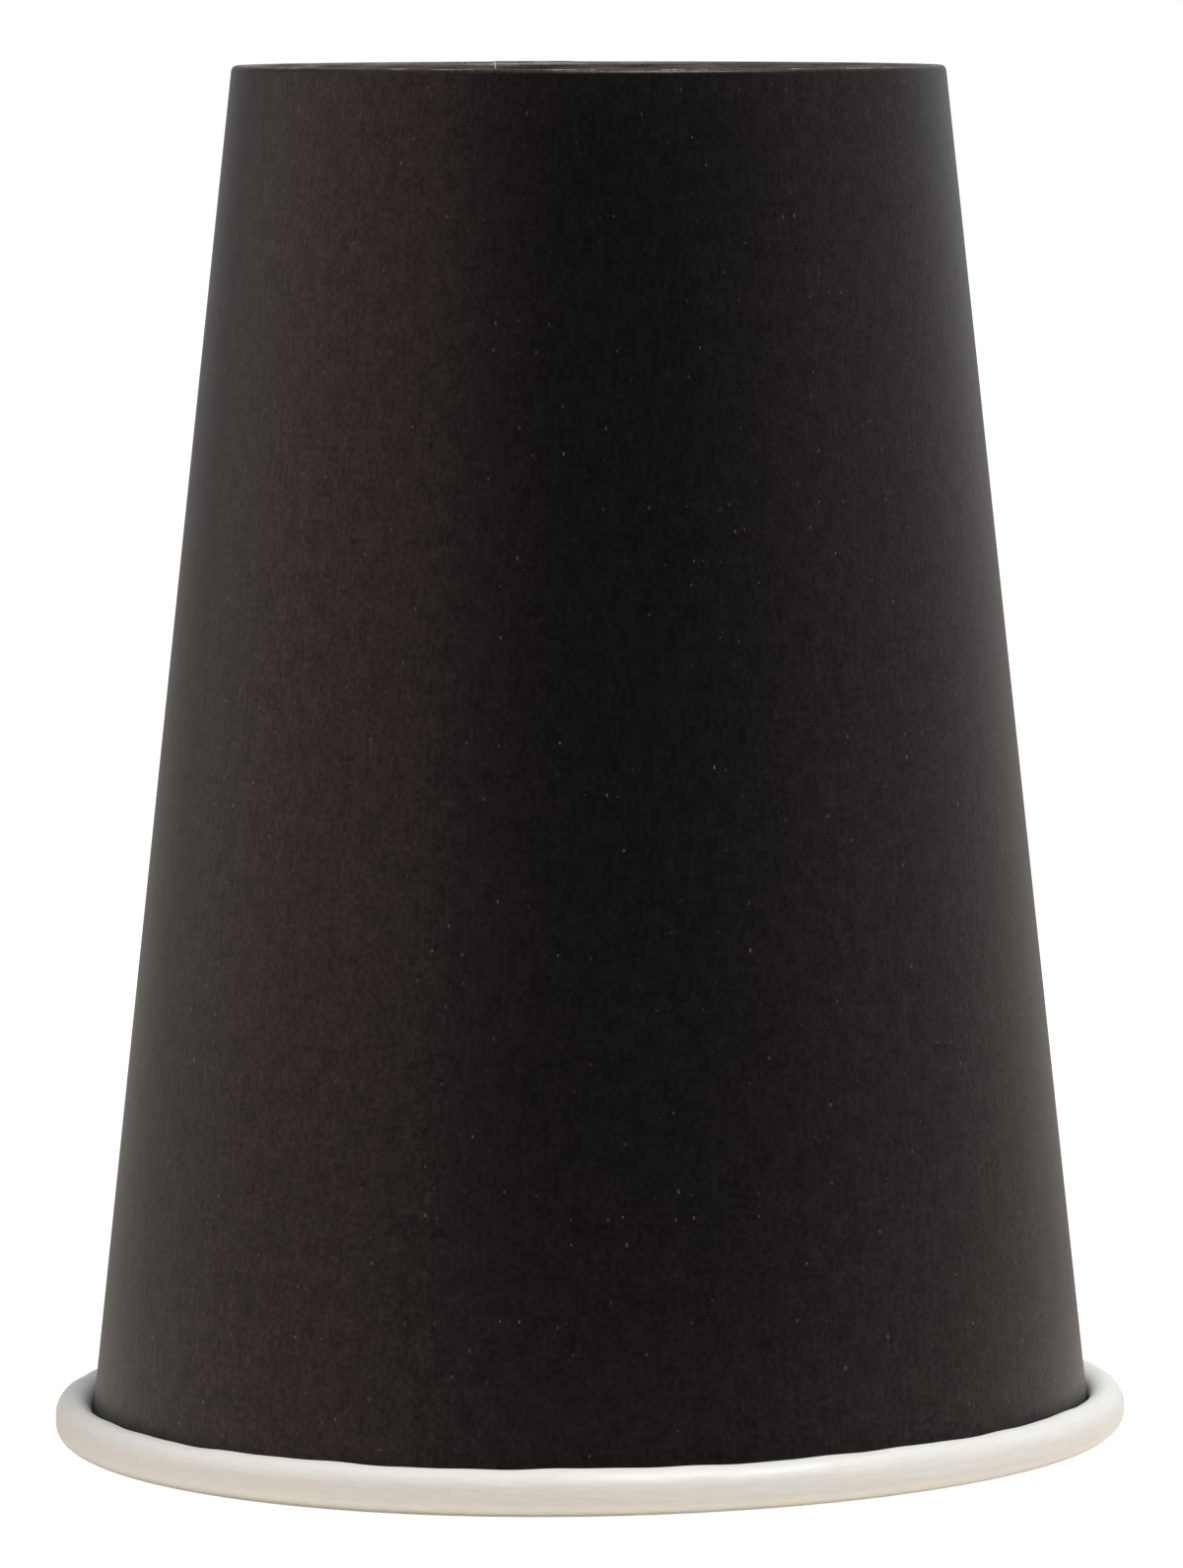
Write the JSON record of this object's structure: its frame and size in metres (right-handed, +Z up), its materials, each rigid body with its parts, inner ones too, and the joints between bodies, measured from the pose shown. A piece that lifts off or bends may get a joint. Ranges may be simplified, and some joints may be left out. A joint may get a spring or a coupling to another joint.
{
  "type": "paper cup",
  "caption": "Single-wall paper cup with a rolled rim, a lapped side seam and a recessed foot, standing upside down on its rim.",
  "frame": {"origin": "centre of the plane on which the rolled rim rests, on the cup's axis", "axes": "+Z up along the cup's axis, from the mouth, which faces down, to the foot; the side seam's outer cut edge is 106.4 degrees round from +X towards +Y"},
  "size_m": [0.09, 0.09, 0.1147],
  "materials": {
    "printed_board": "matte dark print outside, uncoated white face inside",
    "white_board": "uncoated white paperboard with a thin sealing film"
  },
  "bodies": {
    "root": {"side_wall": "printed_board", "bottom_disc": "white_board"}
  },
  "joints": []
}
